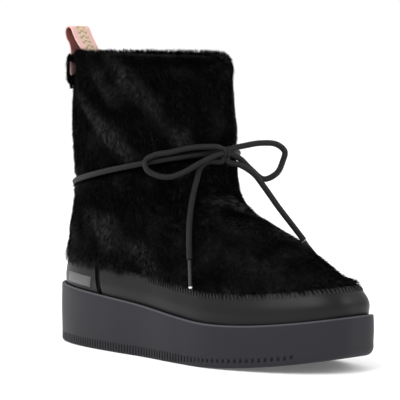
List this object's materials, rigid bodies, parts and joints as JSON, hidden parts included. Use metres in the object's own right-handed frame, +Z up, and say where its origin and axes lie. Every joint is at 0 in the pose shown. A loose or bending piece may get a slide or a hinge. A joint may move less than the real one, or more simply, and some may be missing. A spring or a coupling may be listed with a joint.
{
  "type": "faux fur boot",
  "caption": "Ankle boot of faux fur on a thick cupped rubber sole, with a rand, heel counter, cord tie in a bow at the ankle and a ribbon pull loop.",
  "frame": {"origin": "on the floor at the heel's tread, on the boot's long axis, where the heel stands", "axes": "+X to the toe, +Y to the inner side of the foot, +Z up"},
  "size_m": [0.28, 0.1094, 0.2323],
  "materials": {
    "fur": "deep black pile",
    "rand_leather": "satin",
    "sole_rubber": "matte",
    "label": "satin",
    "insole_felt": "napped",
    "cord": "waxed braid",
    "tips": "matte",
    "ribbon": "woven"
  },
  "bodies": {
    "root": {"sole_unit": "sole_rubber", "upper": "fur", "insole": "insole_felt", "rand": "rand_leather", "heel_counter": "rand_leather", "side_label": "label", "front_flap": "fur", "ankle_cord": "cord", "pull_loop": "ribbon", "bow_knot": "cord", "bow_loop_outer": "cord", "bow_loop_inner": "cord", "bow_end_outer": "cord", "bow_end_inner": "cord", "bow_tip_outer": "tips", "bow_tip_inner": "tips"}
  },
  "joints": []
}
